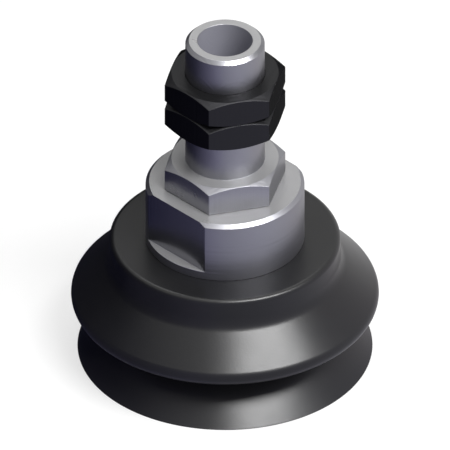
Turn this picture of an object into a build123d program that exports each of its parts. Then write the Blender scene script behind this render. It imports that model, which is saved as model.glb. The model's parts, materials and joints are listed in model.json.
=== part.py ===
from build123d import *
import math
import os

# Bellows suction cup with one and a half folds, standing on its sealing lip.
# Millimetres. +Z points up the threaded stud, and the origin is the centre of the
# lip's sealing plane. The wrench flats face -Y and +Y.

# Bellows, one moulded rubber piece
bellows_height = 37.25
collar_diameter = 64.0
collar_edge_radius = 1.5
# down to the corner where the straight band would meet the cone if it were not rounded
collar_band_height = 7.9
collar_root_radius = 5.0
collar_wall = 3.5
upper_cone_slope = 44.0
fold_diameter = 85.2
fold_edge_radius = 2.6
fold_underside_slope = 20.0
waist_radius = 1.2
lip_diameter = 82.0
lip_slope = 43.5
lip_land = 1.0
bellows_wall = 2.4
neck_web_thickness = 5.0
inner_corner_radius = 1.0

# Cup holder, turned with two wrench flats
holder_diameter = 44.0
holder_height = 18.4
holder_chamfer = 1.0
holder_flats_width = 38.0
holder_ledge_height = 2.5
spigot_diameter = 24.0
air_passage_diameter = 12.0

# Hex nipple, the hollow stud and its hexagon in one piece
thread_diameter = 22.0
stud_length = 39.6
stud_end_chamfer = 1.0
port_bore_diameter = 15.24
port_bore_depth = 16.0
nipple_hex_width = 30.0
nipple_hex_height = 8.0
nipple_root_length = 12.0
hex_chamfer_angle = 30.0
hex_face_share = 0.99

# Jam nuts
jam_nut_width = 30.0
jam_nut_height = 8.0
jam_nut_stand_off = 12.85

# O-ring under the hexagon, drawn as squeezed
ring_seal_width = 2.2
ring_seal_height = 1.5
ring_seal_rounding_share = 0.4

# Clamp plate inside the cup
plate_diameter = 48.0
plate_thickness = 4.0
plate_rim_radius = 1.0
plate_air_hole_diameter = 16.0

# Clamp screws and their lock washers
screw_count = 6
# midway between the spigot and the holder's rim
screw_circle_diameter = (spigot_diameter + holder_diameter) / 2
screw_thread_diameter = 4.0
screw_length = 16.0
screw_head_diameter = 7.6
screw_head_height = 2.2
screw_head_rim = 0.5
screw_crown_diameter = 4.2
screw_dome_bulge = 0.35
screw_tip_chamfer = 0.4
screw_socket_width = 2.5
screw_socket_depth = 1.3
tapped_hole_depth = 8.0
washer_diameter = 7.6
washer_thickness = 0.9
washer_slit_width = 0.8
washer_slit_lean = 30.0

# Filter screen and the snap ring that holds it
filter_diameter = 21.0
filter_thickness = 0.6
filter_hole_diameter = 1.6
filter_hole_pitch = 2.5
filter_hole_rings = 3
snap_ring_thickness = 1.0
snap_ring_width = 1.6
snap_ring_groove_depth = 0.6
snap_ring_gap = 5.0
snap_ring_lug_diameter = 3.0
snap_ring_lug_hole_diameter = 1.2

# Clearances
running_clearance = 0.05
thread_clearance = 0.05
screw_hole_clearance = 0.25
rubber_side_clearance = 0.3
rubber_face_clearance = 0.02
filter_clearance = 0.1

# How far a cutting tool runs past what it cuts, and the most that a rounding takes of a side
cut_margin = 1.0
rounding_side_share = 0.49

# Heights of the seats, all counted from the lip's plane
holder_base_z = bellows_height
holder_top_z = holder_base_z + holder_height
hex_top_z = holder_top_z + nipple_hex_height
stud_top_z = hex_top_z + stud_length
lower_nut_z = hex_top_z + jam_nut_stand_off
upper_nut_z = lower_nut_z + jam_nut_height
socket_floor_z = holder_top_z - nipple_root_length
plate_top_z = holder_base_z - neck_web_thickness
plate_base_z = plate_top_z - plate_thickness
screw_seat_z = plate_base_z - washer_thickness


def tangent(degrees):
    return math.tan(math.radians(degrees))


def turned(points):
    """Solid of revolution about Z from a closed outline of (radius, height) points."""
    return revolve(make_face(Plane.XZ * Polyline(*points, close=True)), Axis.Z)


def bored(radius, low, high):
    """Plain cylinder about Z between two heights, to cut a bore with."""
    return Pos(0, 0, low) * Cylinder(radius, high - low, align=(Align.CENTER, Align.CENTER, Align.MIN))


def around(count, radius):
    """Places on a circle about Z, the first on +X."""
    return PolarLocations(radius, count)


def hex_block(width, height, chamfer_base, chamfer_top):
    """Hexagonal prism on z = 0, flats facing +-Y, with its corners turned to a cone at the chosen ends."""
    corner_radius = width / 2 / math.cos(math.radians(30))
    face_radius = hex_face_share * width / 2
    reach = corner_radius + cut_margin
    drop = (reach - face_radius) * tangent(hex_chamfer_angle)
    base = [(face_radius, 0), (reach, drop)] if chamfer_base else [(reach, 0)]
    top = [(reach, height - drop), (face_radius, height)] if chamfer_top else [(reach, height)]
    envelope = turned([(0, 0)] + base + top + [(0, height)])
    prism = extrude(RegularPolygon(corner_radius, 6), height)
    return prism & envelope


def corner_tangent_length(before, corner, after, radius):
    """Length that a rounding of this radius takes from each side of a corner."""
    first = math.atan2(before[1] - corner[1], before[0] - corner[0])
    second = math.atan2(after[1] - corner[1], after[0] - corner[0])
    opening = abs(first - second) % (2 * math.pi)
    opening = min(opening, 2 * math.pi - opening)
    return radius / math.tan(opening / 2)


def rounded_outline(corners):
    """Closed outline from (radius, height, rounding) corners, each rounding held to its two sides."""
    points = [(r, z) for r, z, rounding in corners]
    radii = []
    for i, (r, z, rounding) in enumerate(corners):
        before = points[i - 1]
        after = points[(i + 1) % len(points)]
        side = min(math.dist(before, (r, z)), math.dist((r, z), after))
        needed = corner_tangent_length(before, (r, z), after, 1.0)
        radii.append(min(rounding, rounding_side_share * side / needed))
    return FilletPolyline(*points, radius=radii, close=True)


def bellows_corners():
    """Sharp corners of the bellows wall, outside then inside, with the rounding of each.

    The upper cone falls from the collar, the fold's underside returns to the waist and the
    lip cone falls to the sealing plane. The fold's corner lies where a circle of the edge
    radius, tangent to both walls, reaches the fold's diameter.
    """
    a = upper_cone_slope
    b = fold_underside_slope
    c = lip_slope
    collar_r = collar_diameter / 2
    lip_r = lip_diameter / 2
    top = bellows_height - rubber_face_clearance
    cone_z = bellows_height - collar_band_height

    half = math.radians((a + b) / 2)
    lean = math.radians((a - b) / 2)
    fold_r = fold_diameter / 2 - fold_edge_radius + fold_edge_radius / math.sin(half) * math.cos(lean)
    fold_z = cone_z - (fold_r - collar_r) * tangent(a)
    waist_r = (lip_r * tangent(c) - fold_z + fold_r * tangent(b)) / (tangent(b) + tangent(c))
    waist_z = (lip_r - waist_r) * tangent(c)

    down = bellows_wall / math.cos(math.radians(a))
    up = bellows_wall / math.cos(math.radians(b))
    inner_collar_r = collar_r - collar_wall
    inner_cone_z = cone_z + (collar_r - inner_collar_r) * tangent(a) - down
    inner_fold_r = fold_r - (down + up) / (tangent(a) + tangent(b))
    inner_fold_z = fold_z - (fold_r - inner_fold_r) * tangent(b) + up
    lip_back = bellows_wall / math.cos(math.radians(c))
    inner_waist_r = waist_r - (up + lip_back) / (tangent(b) + tangent(c))
    inner_waist_z = waist_z - (waist_r - inner_waist_r) * tangent(b) + up
    hole_r = spigot_diameter / 2 + rubber_side_clearance
    web_z = plate_top_z + rubber_face_clearance

    outside = [
        (hole_r, top, 0),
        (collar_r, top, collar_edge_radius),
        (collar_r, cone_z, collar_root_radius),
        (fold_r, fold_z, fold_edge_radius),
        (waist_r, waist_z, waist_radius),
        (lip_r, 0, 0),
    ]
    inside = [
        (lip_r - lip_land, 0, 0),
        (inner_waist_r, inner_waist_z, waist_radius + bellows_wall),
        (inner_fold_r, inner_fold_z, inner_corner_radius),
        (inner_collar_r, inner_cone_z, collar_root_radius),
        (inner_collar_r, web_z, inner_corner_radius),
        (hole_r, web_z, 0),
    ]
    return outside + inside


def make_bellows():
    """The moulded cup: collar with a clamped web, one full fold, and the half fold that ends in the lip."""
    wall = make_face(Plane.XZ * rounded_outline(bellows_corners()))
    body = revolve(wall, Axis.Z)
    hole_r = screw_thread_diameter / 2 + rubber_side_clearance
    for place in around(screw_count, screw_circle_diameter / 2):
        body -= place * bored(hole_r, plate_top_z - cut_margin, holder_base_z + cut_margin)
    return body


def make_cup_holder():
    """Round holder: threaded socket above, flats down to a ledge, spigot through the rubber below."""
    radius = holder_diameter / 2
    spigot_r = spigot_diameter / 2
    body = turned([
        (0, plate_top_z),
        (spigot_r, plate_top_z),
        (spigot_r, holder_base_z),
        (radius, holder_base_z),
        (radius, holder_top_z - holder_chamfer),
        (radius - holder_chamfer, holder_top_z),
        (0, holder_top_z),
    ])
    seat_z = holder_top_z - ring_seal_height
    socket_r = thread_diameter / 2 + thread_clearance
    body -= bored(air_passage_diameter / 2, plate_top_z, holder_top_z)
    body -= bored(socket_r, socket_floor_z, holder_top_z)
    body -= bored(thread_diameter / 2 + ring_seal_width, seat_z, holder_top_z)
    for side in (-1, 1):
        flat = Box(holder_diameter, holder_diameter, holder_height)
        flat_y = side * (holder_flats_width + holder_diameter) / 2
        flat_z = holder_base_z + holder_ledge_height + holder_height / 2
        body -= Pos(0, flat_y, flat_z) * flat
    hole_r = screw_thread_diameter / 2 + thread_clearance
    for place in around(screw_count, screw_circle_diameter / 2):
        body -= place * bored(hole_r, holder_base_z, holder_base_z + tapped_hole_depth)
    return body


def make_hex_nipple():
    """Hollow stud with its hexagon, and the threaded root that screws down into the holder."""
    radius = thread_diameter / 2
    stud = turned([
        (0, socket_floor_z),
        (radius - stud_end_chamfer, socket_floor_z),
        (radius, socket_floor_z + stud_end_chamfer),
        (radius, stud_top_z - stud_end_chamfer),
        (radius - stud_end_chamfer, stud_top_z),
        (0, stud_top_z),
    ])
    collar = Pos(0, 0, holder_top_z) * hex_block(nipple_hex_width, nipple_hex_height, False, True)
    body = stud + collar
    body -= bored(air_passage_diameter / 2, socket_floor_z, stud_top_z)
    body -= bored(port_bore_diameter / 2, stud_top_z - port_bore_depth, stud_top_z)
    return body


def make_jam_nut(base_z):
    """Thin hexagon nut with both ends chamfered, running on the stud."""
    nut = hex_block(jam_nut_width, jam_nut_height, True, True)
    nut -= bored(thread_diameter / 2 + running_clearance, 0, jam_nut_height)
    return Pos(0, 0, base_z) * nut


def make_nipple_o_ring():
    """O-ring as it lies squeezed between hexagon and holder: flat above and below, round at the sides."""
    inner_r = thread_diameter / 2 + thread_clearance
    outer_r = thread_diameter / 2 + ring_seal_width - thread_clearance
    base_z = holder_top_z - ring_seal_height
    rounding = ring_seal_rounding_share * min(ring_seal_height, outer_r - inner_r)
    section = rounded_outline([
        (inner_r, base_z, rounding),
        (outer_r, base_z, rounding),
        (outer_r, holder_top_z, rounding),
        (inner_r, holder_top_z, rounding),
    ])
    return revolve(make_face(Plane.XZ * section), Axis.Z)


def make_clamp_plate():
    """Round plate that clamps the web against the holder, with the filter's recess and ring groove below."""
    radius = plate_diameter / 2
    section = rounded_outline([
        (plate_air_hole_diameter / 2, plate_base_z, 0),
        (radius, plate_base_z, plate_rim_radius),
        (radius, plate_top_z, plate_rim_radius),
        (plate_air_hole_diameter / 2, plate_top_z, 0),
    ])
    body = revolve(make_face(Plane.XZ * section), Axis.Z)
    recess_r = filter_diameter / 2 + filter_clearance
    body -= bored(recess_r, plate_base_z, filter_seat_z())
    body -= bored(recess_r + snap_ring_groove_depth, snap_ring_z(), snap_ring_z() + snap_ring_thickness)
    hole_r = screw_thread_diameter / 2 + screw_hole_clearance
    for place in around(screw_count, screw_circle_diameter / 2):
        body -= place * bored(hole_r, plate_base_z, plate_top_z)
    return body


def snap_ring_z():
    """Underside of the snap ring, half its thickness above the plate's underside."""
    return plate_base_z + snap_ring_thickness / 2


def filter_seat_z():
    """Shoulder that the filter screen is pressed against by the snap ring."""
    return snap_ring_z() + snap_ring_thickness + filter_thickness


def make_filter_screen():
    """Thin disc pierced in rings of holes."""
    body = bored(filter_diameter / 2, filter_seat_z() - filter_thickness, filter_seat_z())
    hole = bored(filter_hole_diameter / 2, filter_seat_z() - filter_thickness, filter_seat_z())
    body -= hole
    for ring in range(1, filter_hole_rings + 1):
        for place in around(6 * ring, ring * filter_hole_pitch):
            body -= place * hole
    return body


def make_snap_ring():
    """Internal snap ring: an open ring with two lugs, each with a hole for the pliers."""
    outer_r = filter_diameter / 2 + filter_clearance + snap_ring_groove_depth - thread_clearance
    inner_r = outer_r - snap_ring_width
    lug_r = snap_ring_lug_diameter / 2
    lug_centre_r = inner_r - lug_r / 2
    lug_y = snap_ring_gap / 2 + lug_r
    lug_x = math.sqrt(lug_centre_r ** 2 - lug_y ** 2)
    shape = Circle(outer_r) - Circle(inner_r)
    shape -= Pos(outer_r, 0) * Rectangle(2 * snap_ring_width + lug_r * 2, snap_ring_gap)
    for side in (-1, 1):
        lug = Pos(lug_x, side * lug_y) * Circle(lug_r)
        shape += lug & Circle(outer_r)
    for side in (-1, 1):
        shape -= Pos(lug_x, side * lug_y) * Circle(snap_ring_lug_hole_diameter / 2)
    return Pos(0, 0, snap_ring_z()) * extrude(shape, snap_ring_thickness)


def clamp_screw():
    """Domed socket screw with its seat on z = 0 and its shank pointing up."""
    head_r = screw_head_diameter / 2
    shank_r = screw_thread_diameter / 2
    crown = Vector(screw_crown_diameter / 2, -screw_head_height)
    rim = Vector(head_r, -screw_head_rim)
    outward = (rim - crown).rotate(Axis.Z, -90).normalized()
    dome = ThreePointArc(crown, (crown + rim) / 2 + outward * screw_dome_bulge, rim)
    sides = Polyline(
        rim,
        (head_r, 0),
        (shank_r, 0),
        (shank_r, screw_length - screw_tip_chamfer),
        (shank_r - screw_tip_chamfer, screw_length),
        (0, screw_length),
        (0, -screw_head_height),
        crown,
    )
    body = revolve(make_face(Plane.XZ * (dome + sides)), Axis.Z)
    socket = extrude(RegularPolygon(screw_socket_width / 2, 6, major_radius=False), screw_socket_depth)
    return body - Pos(0, 0, -screw_head_height) * socket


def lock_washer():
    """Spring lock washer on z = 0, flattened under load, with its slanted slit on the outer side."""
    inner_r = screw_thread_diameter / 2 + thread_clearance
    ring = bored(washer_diameter / 2, 0, washer_thickness) - bored(inner_r, 0, washer_thickness)
    slit = Box(washer_diameter, washer_slit_width, 3 * washer_thickness)
    return ring - Pos(washer_diameter / 2, 0, washer_thickness / 2) * Rot(washer_slit_lean, 0, 0) * slit


def fastener_sets():
    """One screw and one washer at each place on the screw circle."""
    sets = {}
    for number, place in enumerate(around(screw_count, screw_circle_diameter / 2), 1):
        sets[f"clamp_screw_{number}"] = place * Pos(0, 0, screw_seat_z) * clamp_screw()
        sets[f"lock_washer_{number}"] = place * Pos(0, 0, screw_seat_z) * lock_washer()
    return sets


def all_parts():
    """Every separate piece, by the name of its file."""
    parts = {
        "hex_nipple": make_hex_nipple(),
        "upper_jam_nut": make_jam_nut(upper_nut_z),
        "lower_jam_nut": make_jam_nut(lower_nut_z),
        "cup_holder": make_cup_holder(),
        "nipple_o_ring": make_nipple_o_ring(),
        "bellows": make_bellows(),
        "clamp_plate": make_clamp_plate(),
        "filter_screen": make_filter_screen(),
        "filter_snap_ring": make_snap_ring(),
    }
    parts.update(fastener_sets())
    return parts


os.makedirs("parts", exist_ok=True)
for name, shape in all_parts().items():
    export_step(shape, f"parts/{name}.step")
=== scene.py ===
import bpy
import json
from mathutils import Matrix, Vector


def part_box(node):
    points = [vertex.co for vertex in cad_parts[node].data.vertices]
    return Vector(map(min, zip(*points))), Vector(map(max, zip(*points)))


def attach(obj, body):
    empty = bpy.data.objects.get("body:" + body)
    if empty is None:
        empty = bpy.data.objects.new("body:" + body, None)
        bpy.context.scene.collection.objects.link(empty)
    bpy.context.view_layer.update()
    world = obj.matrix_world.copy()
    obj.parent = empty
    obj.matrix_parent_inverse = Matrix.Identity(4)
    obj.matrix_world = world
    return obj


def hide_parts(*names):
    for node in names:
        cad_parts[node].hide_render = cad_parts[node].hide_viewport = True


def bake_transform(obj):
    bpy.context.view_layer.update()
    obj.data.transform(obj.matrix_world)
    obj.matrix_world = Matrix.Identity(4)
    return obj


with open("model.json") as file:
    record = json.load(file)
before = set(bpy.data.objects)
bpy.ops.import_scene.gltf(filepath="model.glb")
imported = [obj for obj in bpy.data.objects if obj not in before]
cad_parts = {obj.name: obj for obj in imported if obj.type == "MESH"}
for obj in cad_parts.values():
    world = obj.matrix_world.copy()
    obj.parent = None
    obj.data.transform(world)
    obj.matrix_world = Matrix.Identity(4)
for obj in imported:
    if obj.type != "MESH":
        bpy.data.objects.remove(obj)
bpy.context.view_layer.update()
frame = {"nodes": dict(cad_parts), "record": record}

import json
import bpy
import bmesh
import numpy as np
from mathutils import Quaternion, Vector

# Lengths are in millimetres and angles in degrees, unless a comment says otherwise. Places that
# the frame holds are read from it.
MM = 0.001
TAU = 2 * np.pi
MOUNTS = {mount["name"]: mount["dims"] for mount in frame["record"]["mounts"]}
STUD_RADIUS = MOUNTS["stud"]["r_mm"]
PORT_RADIUS = MOUNTS["port"]["r_mm"]
PORT_DEPTH = MOUNTS["port"]["length_mm"]

# Machined metal
EDGE_BREAK = 0.14
INNER_BREAK = 0.1
HEX_CORNER_BREAK = 0.25
HEX_FOOT_BREAK = 0.4
HEX_FACE_SHARE = 0.99
HEX_CHAMFER_ANGLE = 30.0
STUD_END_CHAMFER = 1.0
NIPPLE_HEX_BASE = 55.65
NIPPLE_HEX_HEIGHT = 8.0
AIR_PASSAGE_RADIUS = 6.0
HOLDER_CHAMFER = 1.0
HOLDER_FLATS_WIDTH = 38.0
HOLDER_FLAT_BLEND = 0.06
HOLDER_LEDGE_HEIGHT = 2.5
HOLDER_SOCKET_DEPTH = 12.0
HOLDER_SPIGOT_RADIUS = 12.0
O_RING_WIDTH = 2.2
O_RING_HEIGHT = 1.5
RUNNING_CLEARANCE = 0.05
NUT_FACE_RELIEF = 0.02

# Moulded rubber
BELLOWS_HEIGHT = 37.25
COLLAR_RADIUS = 32.0
COLLAR_EDGE_RADIUS = 1.5
COLLAR_BAND_HEIGHT = 7.9
COLLAR_ROOT_RADIUS = 5.0
COLLAR_WALL = 3.5
UPPER_CONE_SLOPE = 44.0
FOLD_RADIUS = 42.6
FOLD_EDGE_RADIUS = 2.6
FOLD_UNDERSIDE_SLOPE = 20.0
WAIST_ROUNDING = 1.2
LIP_RADIUS = 41.0
LIP_SLOPE = 43.5
LIP_LAND = 1.0
LIP_EDGE_BREAK = 0.12
BELLOWS_WALL = 2.4
WEB_THICKNESS = 5.0
WEB_HOLE_RADIUS = 12.3
WEB_HOLE_ROUNDING = 0.2
INNER_CORNER_ROUNDING = 1.0
BELLOWS_COLUMNS = 216

# Distances within which points count as one, in metres
SKIN_WELD = 1e-7
SOLID_WELD = 1e-6


def tangent(degrees):
    """Tangent of an angle in degrees."""
    return np.tan(np.radians(degrees))


def low(node):
    """Lowest corner of a CAD node, in millimetres."""
    return np.array(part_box(node)[0]) / MM


def high(node):
    """Highest corner of a CAD node, in millimetres."""
    return np.array(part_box(node)[1]) / MM


def place(name, data):
    """An object of the scene with this data, at the origin."""
    thing = bpy.data.objects.new(name, data)
    bpy.context.scene.collection.objects.link(thing)
    return thing


# Surfaces

def rounded(corners, radii, arc_steps=5, straight_steps=0, guard=0.08):
    """Closed outlines with rounded corners, all outlines at once.

    corners has the shape (outlines, corners, 2) and radii one radius for each corner. Each
    corner gives way to the arc of a circle that touches both its sides, held to 0.45 of the
    shorter side. A guard point stands just before and just after each arc, at most 0.04 of the
    side away, so that shading stays flat on the flats, and straight_steps more points divide
    each straight stretch.
    """
    tiny = 1e-9
    to_before = np.roll(corners, 1, axis=1) - corners
    to_after = np.roll(corners, -1, axis=1) - corners
    length_before = np.linalg.norm(to_before, axis=2, keepdims=True)
    length_after = np.linalg.norm(to_after, axis=2, keepdims=True)
    to_before = to_before / np.maximum(length_before, tiny)
    to_after = to_after / np.maximum(length_after, tiny)
    cosine = np.clip((to_before * to_after).sum(axis=2, keepdims=True), -0.999999, 0.999999)
    half_opening = np.arccos(cosine) / 2
    radii = np.asarray(radii, float)[None, :, None]
    most = 0.45 * np.minimum(length_before, length_after)
    cut = np.minimum(radii / np.tan(half_opening), most)
    radius = cut * np.tan(half_opening)
    bisector = to_before + to_after
    bisector = bisector / np.maximum(np.linalg.norm(bisector, axis=2, keepdims=True), tiny)
    centre = corners + bisector * radius / np.sin(half_opening)
    start = corners + to_before * cut
    end = corners + to_after * cut
    sweep = np.pi - 2 * half_opening
    arrive = start + to_before * np.minimum(guard, 0.04 * length_before)
    leave = end + to_after * np.minimum(guard, 0.04 * length_after)
    parts = [arrive]
    for t in np.linspace(0, 1, arc_steps):
        spread = np.sin((1 - t) * sweep) * (start - centre) + np.sin(t * sweep) * (end - centre)
        parts.append(centre + spread / np.maximum(np.sin(sweep), tiny))
    parts.append(leave)
    next_arrive = np.roll(arrive, -1, axis=1)
    for share in np.arange(1, straight_steps + 1) / (straight_steps + 1):
        parts.append(leave * (1 - share) + next_arrive * share)
    return np.stack(parts, axis=2).reshape(corners.shape[0], -1, 2)


def cut_outlines(columns, corners, **steps):
    """Rounded outlines of a turned piece, one for each column of its mesh.

    corners lists (radius, height, edge break). Radius and height may vary with the angle.
    """
    even = np.zeros(columns)
    points = [np.stack([radius + even, height + even], axis=1) for radius, height, _ in corners]
    breaks = [edge_break for _, _, edge_break in corners]
    return rounded(np.stack(points, axis=1), breaks, **steps)


def set_attribute(mesh, name, kind, field, values):
    """Keep one value, vector or colour for each point of a mesh."""
    attribute = mesh.attributes.new(name, kind, "POINT")
    attribute.data.foreach_set(field, values.reshape(-1).astype(np.float32))


def turned_solid(name, angles, outlines, around=None, drawn=None, dull=None):
    """A closed ring swept about Z: one outline of (radius, height) points for each angle.

    The point at angle a of outline point (r, z) is (r cos a, r sin a, z). Both directions
    wrap round. The attribute tool_marks holds the distance round the piece, the distance
    along the outline, and 1 where the metal is drawn or milled instead of turned. The
    attribute dull is 1 where a bore is left rough.
    """
    columns, rows = outlines.shape[:2]
    radius, height = outlines[..., 0], outlines[..., 1]
    across, back = np.cos(angles)[:, None], np.sin(angles)[:, None]
    points = np.stack([radius * across, radius * back, height], axis=2)
    i, j = np.meshgrid(np.arange(columns), np.arange(rows), indexing="ij")
    next_i, next_j = (i + 1) % columns, (j + 1) % rows
    quads = np.stack([
        i * rows + j, next_i * rows + j, next_i * rows + next_j, i * rows + next_j,
    ], axis=2)
    mesh = bpy.data.meshes.new(name)
    mesh.from_pydata((points.reshape(-1, 3) * MM).tolist(), [], quads.reshape(-1, 4).tolist())

    nought = np.zeros((columns, rows))
    around = angles * radius.max() if around is None else around
    drawn = nought if drawn is None else drawn
    dull = nought if dull is None else dull
    steps = np.linalg.norm(np.diff(outlines, axis=1, prepend=outlines[:, :1]), axis=2)
    along = np.cumsum(steps, axis=1)
    marks = np.stack([around[:, None] + nought, along, drawn], axis=2)
    set_attribute(mesh, "tool_marks", "FLOAT_VECTOR", "vector", marks)
    set_attribute(mesh, "dull", "FLOAT", "value", dull)

    cleaner = bmesh.new()
    cleaner.from_mesh(mesh)
    bmesh.ops.remove_doubles(cleaner, verts=cleaner.verts, dist=SKIN_WELD)
    bmesh.ops.dissolve_degenerate(cleaner, edges=cleaner.edges, dist=SKIN_WELD)
    bmesh.ops.recalc_face_normals(cleaner, faces=cleaner.faces)
    cleaner.to_mesh(mesh)
    cleaner.free()
    mesh.shade_smooth()
    return place(name, mesh)


def corner_touch(width):
    """Angle in radians, from the middle of a hexagon's flat, at which its corner break begins."""
    apothem = width / 2
    return np.arctan((apothem - HEX_CORNER_BREAK) / apothem * tangent(30))


def hexagon_angles(width):
    """Angles in radians round a hexagon with a corner on +X, closer where its corners are broken.

    A guard angle stands just inside each end of a flat, so that shading stays flat there.
    """
    flat_steps, corner_steps, guard = 25, 5, 0.006
    touch = corner_touch(width)
    flat = np.linspace(-touch, touch, flat_steps)
    guards = np.array([-touch + guard, touch - guard])
    corner = np.linspace(touch, TAU / 6 - touch, corner_steps)[1:-1]
    side = np.sort(np.concatenate([flat, guards, corner])) + TAU / 12
    return np.concatenate([side + k * TAU / 6 for k in range(6)])


def hexagon_radius(angles, width):
    """Distance from the axis to the side of a hexagon with rounded corners.

    On a flat it is the apothem over the cosine of the angle from the flat's middle. Near a
    corner it is where the ray meets the circle that touches both flats.
    """
    apothem = width / 2
    from_middle = np.abs(np.mod(angles, TAU / 6) - TAU / 12)
    to_corner = TAU / 12 - from_middle
    centre = (apothem - HEX_CORNER_BREAK) / np.cos(TAU / 12)
    reach = np.sqrt(np.maximum(HEX_CORNER_BREAK ** 2 - (centre * np.sin(to_corner)) ** 2, 0))
    on_flat = apothem / np.cos(from_middle)
    at_corner = centre * np.cos(to_corner) + reach
    return np.where(from_middle <= corner_touch(width), on_flat, at_corner)


def hexagon_path(angles, width):
    """Distance travelled round the hexagon's flats, a continuous length for the drawn marks."""
    side = np.floor(np.mod(angles, TAU) / (TAU / 6))
    from_middle = np.mod(angles, TAU / 6) - TAU / 12
    return width / 2 * (np.tan(from_middle) + (2 * side + 1) * tangent(30))


def hexagon_of(node):
    """Measures of a node's hexagon: width, angles, side radius, face radius and chamfer drop.

    The drop is the height lost at the side to the cone that starts at the face radius.
    """
    width = high(node)[1] - low(node)[1]
    angles = hexagon_angles(width)
    side = hexagon_radius(angles, width)
    face = HEX_FACE_SHARE * width / 2
    drop = np.maximum(side - face, 0) * tangent(HEX_CHAMFER_ANGLE)
    return width, angles, side, face, drop


def mark_drawn(outlines, side_radius, base, top):
    """1 on the points that lie on the hexagon's or flat's own side, 0 elsewhere."""
    near_side, near_end = 0.02, 0.01
    radius, height = outlines[..., 0], outlines[..., 1]
    on_side = np.abs(radius - side_radius[:, None]) < near_side
    within = (height > base - near_end) & (height < top + near_end)
    return (on_side & within).astype(float)


# Metal pieces

def make_jam_nut(node, body):
    """Hexagon nut: side radius follows the hexagon, both ends turned back to a cone.

    Its underside stands up by the face relief, so that it comes to rest on the hexagon below
    without sharing its plane.
    """
    base, top = low(node)[2] + NUT_FACE_RELIEF, high(node)[2]
    width, angles, side, face, drop = hexagon_of(node)
    bore = STUD_RADIUS + RUNNING_CLEARANCE
    outlines = cut_outlines(len(angles), [
        (bore, base, INNER_BREAK),
        (face, base, EDGE_BREAK),
        (side, base + drop, EDGE_BREAK),
        (side, top - drop, EDGE_BREAK),
        (face, top, EDGE_BREAK),
        (bore, top, INNER_BREAK),
    ])
    drawn = mark_drawn(outlines, side, base, top)
    piece = turned_solid(f"{node}_machined", angles, outlines, hexagon_path(angles, width), drawn)
    dress(piece, node, "black_oxide_steel")
    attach(piece, body)


def make_hex_nipple():
    """Stud, hexagon and root in one turning, with the hexagon's side following its angle."""
    node = "hex_nipple"
    root, top = low(node)[2], high(node)[2]
    width, angles, side, face, drop = hexagon_of(node)
    hex_top = NIPPLE_HEX_BASE + NIPPLE_HEX_HEIGHT
    port_floor = top - PORT_DEPTH
    outlines = cut_outlines(len(angles), [
        (AIR_PASSAGE_RADIUS, root, INNER_BREAK),
        (STUD_RADIUS - STUD_END_CHAMFER, root, INNER_BREAK),
        (STUD_RADIUS, root + STUD_END_CHAMFER, INNER_BREAK),
        (STUD_RADIUS, NIPPLE_HEX_BASE, INNER_BREAK),
        (side, NIPPLE_HEX_BASE, HEX_FOOT_BREAK),
        (side, hex_top - drop, EDGE_BREAK),
        (face, hex_top, EDGE_BREAK),
        (STUD_RADIUS, hex_top, INNER_BREAK),
        (STUD_RADIUS, top - STUD_END_CHAMFER, EDGE_BREAK),
        (STUD_RADIUS - STUD_END_CHAMFER, top, EDGE_BREAK),
        (PORT_RADIUS, top, EDGE_BREAK),
        (PORT_RADIUS, port_floor, INNER_BREAK),
        (AIR_PASSAGE_RADIUS, port_floor, INNER_BREAK),
    ])
    drawn = mark_drawn(outlines, side, NIPPLE_HEX_BASE, hex_top)
    in_bore = (outlines[..., 0] < PORT_RADIUS + 0.05) & (outlines[..., 1] < top - EDGE_BREAK)
    path = hexagon_path(angles, width)
    dull = in_bore.astype(float)
    piece = turned_solid(f"{node}_machined", angles, outlines, path, drawn, dull)
    dress(piece, node, "nickel_plated_steel")
    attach(piece, "fitting")


def holder_angles(radius):
    """Even angles, with closer ones where the flats run out at the rim and at the chamfer."""
    even = np.arange(0, 360, 2.5)
    offsets = np.array([-1.2, -0.6, -0.3, -0.15, 0, 0.15, 0.3, 0.6, 1.2])
    least_step = 0.05
    close = []
    for rim in (radius, radius - HOLDER_CHAMFER):
        run_out = np.degrees(np.arcsin(HOLDER_FLATS_WIDTH / 2 / rim))
        for middle in (run_out, 180 - run_out, 180 + run_out, 360 - run_out):
            close.append(middle + offsets)
    degrees = np.unique(np.round(np.concatenate([even] + close), 4))
    keep = np.concatenate([[True], np.diff(degrees) > least_step])
    return np.radians(degrees[keep])


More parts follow.
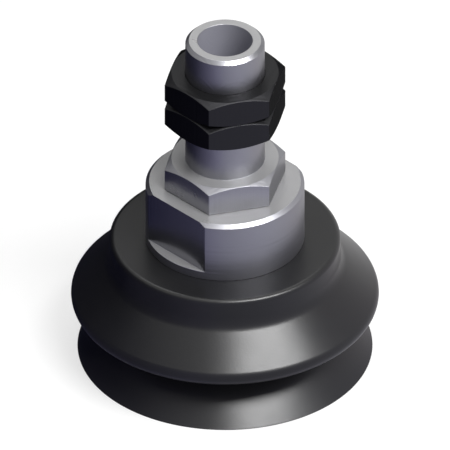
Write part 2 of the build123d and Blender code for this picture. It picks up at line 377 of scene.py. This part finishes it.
def make_cup_holder():
    """Turned body whose side is the smaller of the rim's radius and the flat's distance.

    The smaller of the two, a and b, is (a + b - sqrt((a - b)^2 + blend^2)) / 2, which softens
    the edge between them. Where the flat lies more than 2 mm outside, it is the rim's radius.
    """
    node = "cup_holder"
    spigot_end, top = low(node)[2], high(node)[2]
    radius = high(node)[0]
    angles = holder_angles(radius)
    flat = HOLDER_FLATS_WIDTH / 2 / np.maximum(np.abs(np.sin(angles)), 1e-6)
    side = (radius + flat - np.sqrt((radius - flat) ** 2 + HOLDER_FLAT_BLEND ** 2)) / 2
    side = np.where(flat > radius + 2, radius, side)
    inner_rim = radius - HOLDER_CHAMFER
    ledge = BELLOWS_HEIGHT + HOLDER_LEDGE_HEIGHT
    groove_rim = STUD_RADIUS + O_RING_WIDTH
    groove_floor = top - O_RING_HEIGHT
    socket = STUD_RADIUS + RUNNING_CLEARANCE
    socket_floor = top - HOLDER_SOCKET_DEPTH
    outlines = cut_outlines(len(angles), [
        (AIR_PASSAGE_RADIUS, spigot_end, INNER_BREAK),
        (HOLDER_SPIGOT_RADIUS, spigot_end, INNER_BREAK),
        (HOLDER_SPIGOT_RADIUS, BELLOWS_HEIGHT, INNER_BREAK),
        (radius, BELLOWS_HEIGHT, EDGE_BREAK),
        (radius, ledge, EDGE_BREAK),
        (side, ledge, INNER_BREAK),
        (side, top - np.maximum(side - inner_rim, 0), EDGE_BREAK),
        (np.minimum(side, inner_rim), top, EDGE_BREAK),
        (groove_rim, top, INNER_BREAK),
        (groove_rim, groove_floor, INNER_BREAK),
        (socket, groove_floor, INNER_BREAK),
        (socket, socket_floor, INNER_BREAK),
        (AIR_PASSAGE_RADIUS, socket_floor, INNER_BREAK),
    ])
    on_flat = flat < radius
    milled = mark_drawn(outlines, np.where(on_flat, side, -1.0), ledge, top)
    path = np.where(on_flat, flat * np.cos(angles), angles * radius)
    piece = turned_solid(f"{node}_machined", angles, outlines, path, milled)
    dress(piece, node, "turned_aluminium")
    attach(piece, "fitting")


def make_small_parts():
    """Smooth copies of the parts inside the cup, with the loose triangles of each merged."""
    drawn_anew = ("hex_nipple", "cup_holder", "bellows", "upper_jam_nut", "lower_jam_nut")
    sharp_from = np.radians(28)
    for subpart in frame["record"]["subparts"]:
        node = subpart["node"]
        if node in drawn_anew:
            continue
        mesh = frame["nodes"][node].data.copy()
        mesh.name = f"{node}_finished"
        cleaner = bmesh.new()
        cleaner.from_mesh(mesh)
        bmesh.ops.remove_doubles(cleaner, verts=cleaner.verts, dist=SOLID_WELD)
        cleaner.to_mesh(mesh)
        cleaner.free()
        mesh.shade_smooth()
        mesh.set_sharp_from_angle(angle=sharp_from)
        piece = place(f"{node}_finished", mesh)
        dress(piece, node, subpart["material_slot"])
        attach(piece, "fitting")


# Rubber

def bellows_corners():
    """Sharp corners of the rubber wall, outside from the neck to the lip and back up the inside.

    Each is (radius, height, rounding). The outer corners are where the cone, the fold's
    underside and the lip's slope meet, and the inner ones where those lines meet once they are
    moved inwards by the wall.
    """
    cone, under, lip = UPPER_CONE_SLOPE, FOLD_UNDERSIDE_SLOPE, LIP_SLOPE
    cone_z = BELLOWS_HEIGHT - COLLAR_BAND_HEIGHT
    half = np.radians((cone + under) / 2)
    lean = np.radians((cone - under) / 2)
    fold_r = FOLD_RADIUS - FOLD_EDGE_RADIUS + FOLD_EDGE_RADIUS / np.sin(half) * np.cos(lean)
    fold_z = cone_z - (fold_r - COLLAR_RADIUS) * tangent(cone)
    rise = LIP_RADIUS * tangent(lip) - fold_z + fold_r * tangent(under)
    waist_r = rise / (tangent(under) + tangent(lip))
    waist_z = (LIP_RADIUS - waist_r) * tangent(lip)

    cone_wall = BELLOWS_WALL / np.cos(np.radians(cone))
    under_wall = BELLOWS_WALL / np.cos(np.radians(under))
    lip_wall = BELLOWS_WALL / np.cos(np.radians(lip))
    collar_r = COLLAR_RADIUS - COLLAR_WALL
    collar_z = cone_z + COLLAR_WALL * tangent(cone) - cone_wall
    inner_fold_r = fold_r - (cone_wall + under_wall) / (tangent(cone) + tangent(under))
    inner_fold_z = fold_z - (fold_r - inner_fold_r) * tangent(under) + under_wall
    inner_waist_r = waist_r - (under_wall + lip_wall) / (tangent(under) + tangent(lip))
    inner_waist_z = waist_z - (waist_r - inner_waist_r) * tangent(under) + under_wall
    web_z = BELLOWS_HEIGHT - WEB_THICKNESS
    return [
        (WEB_HOLE_RADIUS, BELLOWS_HEIGHT, WEB_HOLE_ROUNDING),
        (COLLAR_RADIUS, BELLOWS_HEIGHT, COLLAR_EDGE_RADIUS),
        (COLLAR_RADIUS, cone_z, COLLAR_ROOT_RADIUS),
        (fold_r, fold_z, FOLD_EDGE_RADIUS),
        (waist_r, waist_z, WAIST_ROUNDING),
        (LIP_RADIUS, 0, LIP_EDGE_BREAK),
        (LIP_RADIUS - LIP_LAND, 0, LIP_EDGE_BREAK),
        (inner_waist_r, inner_waist_z, WAIST_ROUNDING + BELLOWS_WALL),
        (inner_fold_r, inner_fold_z, INNER_CORNER_ROUNDING),
        (collar_r, collar_z, COLLAR_ROOT_RADIUS),
        (collar_r, web_z, INNER_CORNER_ROUNDING),
        (WEB_HOLE_RADIUS, web_z, WEB_HOLE_ROUNDING),
    ]


def make_bellows():
    """The moulded cup as one skin: its outline turned about Z."""
    outline = cut_outlines(1, bellows_corners(), arc_steps=11, straight_steps=9, guard=0.15)
    angles = np.linspace(0, TAU, BELLOWS_COLUMNS, endpoint=False)
    piece = turned_solid("bellows_moulded", angles, np.repeat(outline, BELLOWS_COLUMNS, axis=0))
    dress(piece, "bellows", "black_rubber")
    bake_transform(piece)


# Materials

def srgb(code):
    """Linear colour from a hex code, as (r, g, b, 1)."""
    values = np.array([int(code[k:k + 2], 16) for k in (0, 2, 4)]) / 255
    linear = np.where(values <= 0.04045, values / 12.92, ((values + 0.055) / 1.055) ** 2.4)
    return (*linear.tolist(), 1.0)


def add(tree, kind, settings=None, links=None):
    """A node with its settings and its links.

    Settings are the node's properties and then its input values. A link comes from a node's
    first output in use, or from the output named in a (node, name) pair. Where a node has
    several sockets of one name, the one in use is taken.
    """
    def in_use(sockets, name=None):
        if isinstance(name, int):
            return sockets[name]
        return next(socket for socket in sockets if socket.enabled and name in (None, socket.name))

    node = tree.nodes.new(kind)
    for name, value in (settings or {}).items():
        if isinstance(name, str) and hasattr(node, name):
            setattr(node, name, value)
        else:
            in_use(node.inputs, name).default_value = value
    for name, source in (links or {}).items():
        giver, output = source if isinstance(source, tuple) else (source, None)
        tree.links.new(in_use(giver.outputs, output), in_use(node.inputs, name))
    return node


def blank_material(name):
    """A material with an empty node tree."""
    material = bpy.data.materials.new(name)
    material.use_nodes = True
    material.node_tree.nodes.clear()
    return material, material.node_tree


WHITE = (1, 1, 1, 1)

# A bore is left rough and grey by the drill
BORE_TONE = "8c8c96"
BORE_ROUGHNESS = 0.8
BORE_METALLIC = 0.1

# Widths of the soft patches in tone and gloss
HANDLING_PATCH = 11.11
SMALL_METAL_PATCH = 3.846
RUBBER_PATCH = 14.29


def machined_metal(name, side, end, end_metallic, round_roughness, flat_roughness, edge_tint,
                   line_pitch, line_depth):
    """Metal cut by a tool: fine uneven lines left along the cut, and faint marks of handling.

    Lines run round turned faces and up milled or drawn ones, as tool_marks says. Round sides
    and chamfers shine less than flats. End faces scatter part of the light, as the facing cut
    leaves them. The tone is painted shade picked by which way a face points: upright faces
    and chamfers take the side tone, a little bluer, and faces that point up or down take the
    end tone. line_pitch and line_depth are in millimetres. The real cutter leaves a line every
    0.1 to 0.2 mm, which is too fine to show, so line_pitch is drawn coarser.
    """
    material, tree = blank_material(name)
    marks = add(tree, "ShaderNodeAttribute", {"attribute_name": "tool_marks"})
    split = add(tree, "ShaderNodeSeparateXYZ", links={"Vector": (marks, "Vector")})
    path = add(tree, "ShaderNodeMix", {"data_type": "FLOAT"}, {
        "Factor": (split, "Z"), "A": (split, "Y"), "B": (split, "X"),
    })
    lines = add(tree, "ShaderNodeTexNoise", {
        "noise_dimensions": "1D", "Scale": 1 / line_pitch, "Detail": 1.0, "Roughness": 0.5,
    }, {"W": path})
    bump = add(tree, "ShaderNodeBump", {"Strength": 0.6, "Distance": line_depth * MM}, {
        "Height": lines,
    })
    where = add(tree, "ShaderNodeTexCoord")
    facing = add(tree, "ShaderNodeSeparateXYZ", links={"Vector": (where, "Normal")})
    level = add(tree, "ShaderNodeMath", {"operation": "ABSOLUTE"}, {0: (facing, "Z")})
    end_face = add(tree, "ShaderNodeMapRange", {"From Min": 0.95, "From Max": 0.99}, {
        "Value": level,
    })
    fine = add(tree, "ShaderNodeMath", {"operation": "MAXIMUM"}, {0: end_face, 1: (split, "Z")})
    blotch = add(tree, "ShaderNodeTexNoise", {
        "Scale": 1 / (HANDLING_PATCH * MM), "Detail": 4.0, "Roughness": 0.55,
    }, {"Vector": (where, "Object")})
    handled = add(tree, "ShaderNodeMapRange", {
        "From Min": 0.3, "From Max": 0.7, "To Min": -0.02, "To Max": 0.03,
    }, {"Value": blotch})
    cut = add(tree, "ShaderNodeMix", {
        "data_type": "FLOAT", "A": round_roughness, "B": flat_roughness,
    }, {"Factor": fine})
    gloss = add(tree, "ShaderNodeMath", {"operation": "ADD"}, {0: cut, 1: handled})
    # Painted shade: upright faces take the bluer side tone, faces pointing up or down the end tone
    painted_facing_tone = add(tree, "ShaderNodeMix", {"data_type": "RGBA", "A": srgb(side), "B": srgb(end)}, {
        "Factor": end_face,
    })
    shine = add(tree, "ShaderNodeMix", {"data_type": "FLOAT", "A": 1.0, "B": end_metallic}, {
        "Factor": end_face,
    })
    dull = add(tree, "ShaderNodeAttribute", {"attribute_name": "dull"})
    tone = add(tree, "ShaderNodeMix", {"data_type": "RGBA", "B": srgb(BORE_TONE)}, {
        "Factor": (dull, "Fac"), "A": painted_facing_tone,
    })
    sheen = add(tree, "ShaderNodeMix", {"data_type": "FLOAT", "B": BORE_ROUGHNESS}, {
        "Factor": (dull, "Fac"), "A": gloss,
    })
    metal = add(tree, "ShaderNodeMix", {"data_type": "FLOAT", "B": BORE_METALLIC}, {
        "Factor": (dull, "Fac"), "A": shine,
    })
    shader = add(tree, "ShaderNodeBsdfPrincipled", {"Specular Tint": srgb(edge_tint)}, {
        "Base Color": tone, "Roughness": sheen, "Normal": bump, "Metallic": metal,
    })
    add(tree, "ShaderNodeOutputMaterial", links={"Surface": shader})
    return material


def small_metal(name, base, dark, roughness):
    """Small pressed or headed metal: cloudy tone and gloss, with fine pits.

    The real pits are about 0.02 mm wide, too fine to show, so they are drawn at 0.2 mm.
    """
    pit_width, pit_depth = 0.2, 0.01
    material, tree = blank_material(name)
    where = add(tree, "ShaderNodeTexCoord")
    cloud = add(tree, "ShaderNodeTexNoise", {
        "Scale": 1 / (SMALL_METAL_PATCH * MM), "Detail": 3.0,
    }, {"Vector": (where, "Object")})
    pits = add(tree, "ShaderNodeTexNoise", {"Scale": 1 / (pit_width * MM), "Detail": 2.0}, {
        "Vector": (where, "Object"),
    })
    tone = add(tree, "ShaderNodeMix", {"data_type": "RGBA", "A": srgb(dark), "B": srgb(base)}, {
        "Factor": cloud,
    })
    gloss = add(tree, "ShaderNodeMapRange", {
        "To Min": roughness - 0.06, "To Max": roughness + 0.08,
    }, {"Value": cloud})
    bump = add(tree, "ShaderNodeBump", {"Strength": 0.2, "Distance": pit_depth * MM}, {
        "Height": pits,
    })
    shader = add(tree, "ShaderNodeBsdfPrincipled", {"Metallic": 1.0}, {
        "Base Color": tone, "Roughness": gloss, "Normal": bump,
    })
    add(tree, "ShaderNodeOutputMaterial", links={"Surface": shader})
    return material


def moulded_rubber(name, base, dark, roughness, grain_size, grain_depth):
    """Rubber from a steel mould: even dark satin with a fine grain, in millimetres.

    A blasted mould leaves pits of about 0.05 mm and a polished one finer ones, too fine to
    show, so grain_size is coarser.
    """
    material, tree = blank_material(name)
    where = add(tree, "ShaderNodeTexCoord")
    cloud = add(tree, "ShaderNodeTexNoise", {
        "Scale": 1 / (RUBBER_PATCH * MM), "Detail": 4.0, "Roughness": 0.6,
    }, {"Vector": (where, "Object")})
    grain = add(tree, "ShaderNodeTexNoise", {"Scale": 1 / (grain_size * MM), "Detail": 2.0}, {
        "Vector": (where, "Object"),
    })
    tone = add(tree, "ShaderNodeMix", {"data_type": "RGBA", "A": srgb(dark), "B": srgb(base)}, {
        "Factor": cloud,
    })
    gloss = add(tree, "ShaderNodeMapRange", {
        "From Min": 0.3, "From Max": 0.7, "To Min": roughness - 0.02, "To Max": roughness + 0.03,
    }, {"Value": cloud})
    bump = add(tree, "ShaderNodeBump", {"Strength": 0.4, "Distance": grain_depth * MM}, {
        "Height": grain,
    })
    shader = add(tree, "ShaderNodeBsdfPrincipled", {"IOR": 1.5}, {
        "Base Color": tone, "Roughness": gloss, "Normal": bump,
    })
    add(tree, "ShaderNodeOutputMaterial", links={"Surface": shader})
    return material


FINISHES = {
    # In the machined finishes the side tone is painted shade on upright faces: a little bluer than
    # the end tone, and for black oxide a little darker too
    # steel turned, then plated: an even cool grey with a satin shine and soft tool lines
    "nickel_plated_steel": machined_metal(
        "nickel_plated_steel", side="a2a2a7", end="a2a2a3", end_metallic=0.4,
        round_roughness=0.36, flat_roughness=0.28, edge_tint="d8d8d8",
        line_pitch=0.9, line_depth=0.05,
    ),
    # as it comes off the lathe and mill: the same grey, a little rougher round the side
    "turned_aluminium": machined_metal(
        "turned_aluminium", side="a2a2a7", end="a2a2a3", end_metallic=0.4,
        round_roughness=0.4, flat_roughness=0.25, edge_tint="d8d8d8",
        line_pitch=0.9, line_depth=0.05,
    ),
    # blackened in a hot bath and oiled: nearly black, with a low satin shine
    "black_oxide_steel": machined_metal(
        "black_oxide_steel", side="38383a", end="3a3a3b", end_metallic=0.9,
        round_roughness=0.4, flat_roughness=0.36, edge_tint="909090",
        line_pitch=0.9, line_depth=0.05,
    ),
    # cold headed, with bright zinc: pale, a little blue, smooth
    "zinc_plated_steel": small_metal("zinc_plated_steel", "b4b8bd", "a2a7ad", roughness=0.28),
    # pierced sheet: grey, rolled, with a soft shine
    "stainless_steel": small_metal("stainless_steel", "9d9d9f", "8f8f92", roughness=0.34),
    # hardened strip, oiled: dark grey with brownish patches
    "spring_steel": small_metal("spring_steel", "4a4844", "3a3835", roughness=0.36),
    # nitrile from a blasted mould: deep black, satin, with a fine grain
    "black_rubber": moulded_rubber(
        "black_nitrile_rubber", "141415", "101011", roughness=0.31,
        grain_size=0.6, grain_depth=0.03,
    ),
    # nitrile cord from a polished mould: soft black, with a finer grain
    "seal_rubber": moulded_rubber(
        "seal_nitrile_rubber", "1c1c1d", "141415", roughness=0.35,
        grain_size=0.2, grain_depth=0.01,
    ),
}


def dress(piece, node, finish):
    """Give a piece its finish, and hide the CAD node that it stands for."""
    piece.data.materials.clear()
    piece.data.materials.append(FINISHES[finish])
    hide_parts(node)


# Studio. Distances and the sizes of lamps and floor are in metres

CAMERA_AZIMUTH = 45.0
CAMERA_ELEVATION = 35.264
CAMERA_DISTANCE = 0.8
LAMP_DISTANCE = 0.9
AIM = Vector((0, 0, 0.04066))
PHOTO_PIXELS = 450
PHOTO_PIXELS_PER_MM = 3.615

# Strength of the world as light, and as it is seen from the horizon up to overhead
WORLD_LIGHT = 0.35
SKY_LOW = 0.48
SKY_HIGH = 0.88

FLOOR_HALF_WIDTH = 3.0
FLOOR_TONE = "a0a0a0"
FLOOR_GLOW = 0.66

# The screen's measures, in millimetres
SCREEN_FOOT_RADIUS = 41.3
SCREEN_RIM_RADIUS = 128.0
SCREEN_HEIGHT = 115.0
# Tones of its glow, by degrees to the camera's right: painted reflections, dark on the left
# and pale in front and on the right
SCREEN_TONES = [
    (-180, "70706e"), (-160, "2a2a32"), (-123, "1c1c2c"), (-90, "1e1e38"), (-44, "706e88"),
    (-14, "a4a2bc"), (0, "b4b4c4"), (37, "cccbdb"), (60, "d4d4df"), (98, "dad6dc"),
    (112, "e4e2e4"), (150, "e8e8e8"), (180, "70706e"),
]


def direction(to_the_right, elevation):
    """Unit vector away from the object, by degrees to the camera's right and above the floor."""
    turn = np.radians(CAMERA_AZIMUTH + to_the_right)
    rise = np.radians(elevation)
    return Vector((np.cos(rise) * np.sin(turn), -np.cos(rise) * np.cos(turn), np.sin(rise)))


def make_camera():
    """Orthographic view at the photograph's angle and scale."""
    away = direction(0, CAMERA_ELEVATION)
    data = bpy.data.cameras.new("camera")
    data.type = "ORTHO"
    data.ortho_scale = PHOTO_PIXELS / PHOTO_PIXELS_PER_MM * MM
    data.clip_start = 0.01
    data.clip_end = 10.0
    camera = place("camera", data)
    camera.location = AIM + away * CAMERA_DISTANCE
    camera.rotation_euler = (-away).to_track_quat("-Z", "Y").to_euler()
    bpy.context.scene.camera = camera


def make_softbox(name, to_the_right, elevation, width, height, radiance, tilt=0.0):
    """Oval area lamp aimed at the object, with its right end lowered by the tilt in degrees.

    radiance is its brightness seen face on. Its power is that times pi times its area.
    """
    away = direction(to_the_right, elevation)
    data = bpy.data.lights.new(name, "AREA")
    data.shape = "ELLIPSE"
    data.size = width
    data.size_y = height
    data.energy = radiance * np.pi * np.pi / 4 * width * height
    lamp = place(name, data)
    lamp.location = AIM + away * LAMP_DISTANCE
    level = (-away).to_track_quat("-Z", "Y")
    lamp.rotation_euler = (level @ Quaternion((0, 0, 1), -np.radians(tilt))).to_euler()


def make_reflection_screen():
    """Glowing screen round the object, dark on its left and pale on its right, seen only in shine.

    It is no lamp: its glow paints dark reflections on the object's left and pale ones on its
    right. It leans outwards: the point at angle a is (r sin a, -r cos a, h), with radius and
    height running together from the foot to the rim. The tone runs evenly between the listed
    angles.
    """
    to_the_right = np.linspace(-180, 180, 145)
    turn = np.radians(CAMERA_AZIMUTH + to_the_right)
    ring = np.stack([np.sin(turn), -np.cos(turn), np.zeros_like(turn)], axis=1)
    foot = ring * SCREEN_FOOT_RADIUS * MM
    rim = ring * SCREEN_RIM_RADIUS * MM + np.array([0, 0, SCREEN_HEIGHT * MM])
    columns = len(turn)
    i = np.arange(columns - 1)
    quads = np.stack([i, i + 1, i + 1 + columns, i + columns], axis=1)
    mesh = bpy.data.meshes.new("graded_screen")
    mesh.from_pydata(np.concatenate([foot, rim]).tolist(), [], quads.tolist())
    stops = [angle for angle, _ in SCREEN_TONES]
    colours = np.array([srgb(code) for _, code in SCREEN_TONES])
    tones = np.stack([np.interp(to_the_right, stops, colours[:, k]) for k in range(4)], axis=1)
    set_attribute(mesh, "tone", "FLOAT_COLOR", "color", np.concatenate([tones, tones]))
    screen = place("graded_screen", mesh)
    material, tree = blank_material("graded_cloth")
    tone = add(tree, "ShaderNodeAttribute", {"attribute_name": "tone"})
    # The glow lights nothing and shows only in reflections, where it paints shade and light
    glow = add(tree, "ShaderNodeEmission", links={"Color": (tone, "Color")})
    add(tree, "ShaderNodeOutputMaterial", links={"Surface": glow})
    mesh.materials.append(material)
    screen.visible_camera = False
    screen.visible_diffuse = False
    screen.visible_shadow = False


def seen_directly(tree):
    """1 for camera, mirror and glass rays, 0 for the rays that carry light to the object."""
    path = add(tree, "ShaderNodeLightPath")
    mirror = add(tree, "ShaderNodeMath", {"operation": "MAXIMUM"}, {
        0: (path, "Is Camera Ray"), 1: (path, "Is Glossy Ray"),
    })
    return add(tree, "ShaderNodeMath", {"operation": "MAXIMUM"}, {
        0: mirror, 1: (path, "Is Transmission Ray"),
    })


def make_world():
    """Pale where it is seen and paler overhead, and a dimmer even light for what it shines on."""
    world = bpy.data.worlds.new("studio")
    bpy.context.scene.world = world
    world.use_nodes = True
    tree = world.node_tree
    tree.nodes.clear()
    where = add(tree, "ShaderNodeTexCoord")
    facing = add(tree, "ShaderNodeSeparateXYZ", links={"Vector": (where, "Generated")})
    sky = add(tree, "ShaderNodeMapRange", {
        "From Min": 0.6, "From Max": 0.85, "To Min": SKY_LOW, "To Max": SKY_HIGH,
    }, {"Value": (facing, "Z")})
    strength = add(tree, "ShaderNodeMix", {"data_type": "FLOAT", "A": WORLD_LIGHT}, {
        "Factor": seen_directly(tree), "B": sky,
    })
    light = add(tree, "ShaderNodeBackground", {"Color": WHITE}, {"Strength": strength})
    add(tree, "ShaderNodeOutputWorld", links={"Surface": light})


def make_floor():
    """Wide pale floor that keeps the object's shadow, with a glow that lifts it to white."""
    half = FLOOR_HALF_WIDTH
    corners = [(-half, -half, 0), (half, -half, 0), (half, half, 0), (-half, half, 0)]
    mesh = bpy.data.meshes.new("floor")
    mesh.from_pydata(corners, [], [(0, 1, 2, 3)])
    floor = place("floor", mesh)
    material, tree = blank_material("pale_paper_floor")
    matte = add(tree, "ShaderNodeBsdfDiffuse", {"Color": srgb(FLOOR_TONE)})
    lift = add(tree, "ShaderNodeMath", {"operation": "MULTIPLY", 1: FLOOR_GLOW}, {
        0: seen_directly(tree),
    })
    glow = add(tree, "ShaderNodeEmission", {"Color": WHITE}, {"Strength": lift})
    paper = add(tree, "ShaderNodeAddShader", links={0: matte, 1: glow})
    add(tree, "ShaderNodeOutputMaterial", links={"Surface": paper})
    mesh.materials.append(material)


make_hex_nipple()
make_jam_nut("upper_jam_nut", "upper_nut")
make_jam_nut("lower_jam_nut", "lower_nut")
make_cup_holder()
make_bellows()
make_small_parts()
make_camera()
make_world()
make_floor()
bpy.context.scene.view_settings.view_transform = "Standard"
make_reflection_screen()
make_softbox(
    "key_softbox", to_the_right=44, elevation=54, width=0.7, height=0.24, radiance=21.5, tilt=17,
)
make_softbox("back_softbox", to_the_right=180, elevation=60, width=0.5, height=0.4, radiance=2.4)
make_softbox("top_softbox", to_the_right=0, elevation=86, width=0.45, height=0.45, radiance=1.6)
